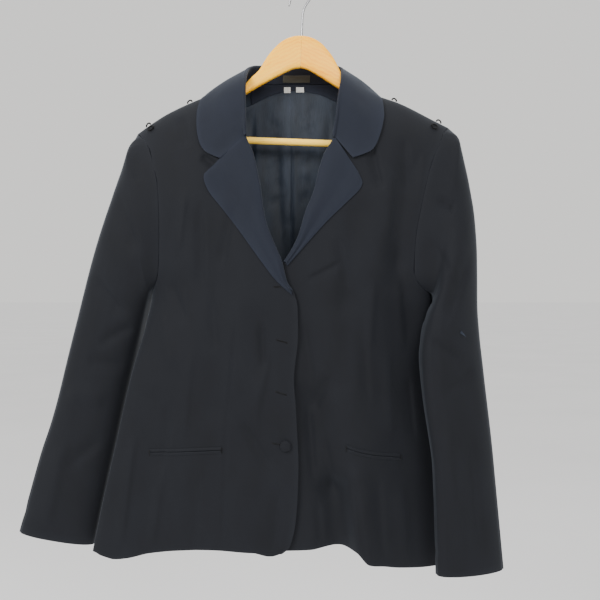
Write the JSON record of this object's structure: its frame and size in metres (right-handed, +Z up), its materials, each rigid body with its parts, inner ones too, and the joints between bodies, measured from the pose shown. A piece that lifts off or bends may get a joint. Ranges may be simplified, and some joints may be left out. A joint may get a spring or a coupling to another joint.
{
  "type": "uniform jacket on a wooden hanger",
  "caption": "Dark uniform jacket with notched lapels and jetted pockets, hanging open-necked on a wooden hanger",
  "frame": {"origin": "inside top of the hanger's hook, where a rail bears", "axes": "+Z up, the jacket's front faces -Y, +X is the wearer's left"},
  "size_m": [0.7304, 0.148, 0.8884],
  "materials": {
    "dark_cloth": "navy-black wool twill",
    "facing_cloth": "navy-black wool twill, pressed",
    "lining_satin": "slate satin",
    "label_cloth": "bare woven label",
    "tab_cloth": "bare white tape",
    "black_cord": "worked thread cord",
    "pale_wood": "varnished pale wood",
    "bar_wood": "plain round wooden bar",
    "hook_steel": "plated wire"
  },
  "bodies": {
    "root": {"front_right": "dark_cloth", "front_left": "dark_cloth", "back": "dark_cloth", "upper_sleeve_right": "dark_cloth", "upper_sleeve_left": "dark_cloth", "under_sleeve_right": "dark_cloth", "under_sleeve_left": "dark_cloth", "collar": "facing_cloth", "lapel_right": "facing_cloth", "lapel_left": "facing_cloth", "neck_facing": "facing_cloth", "back_lining": "lining_satin", "neck_label": "label_cloth", "neck_tab_right": "tab_cloth", "neck_tab_left": "tab_cloth", "pocket_welt_right_upper": "dark_cloth", "pocket_welt_right_lower": "dark_cloth", "pocket_welt_left_upper": "dark_cloth", "pocket_welt_left_lower": "dark_cloth", "button": "dark_cloth", "shoulder_loop_right_inner": "black_cord", "shoulder_loop_right_outer": "black_cord", "shoulder_loop_left_inner": "black_cord", "shoulder_loop_left_outer": "black_cord", "shoulder_ring_right": "black_cord", "shoulder_ring_left": "black_cord", "hanger_arm_right": "pale_wood", "hanger_arm_left": "pale_wood", "hanger_bar": "bar_wood", "hanger_hook": "hook_steel"}
  },
  "joints": []
}
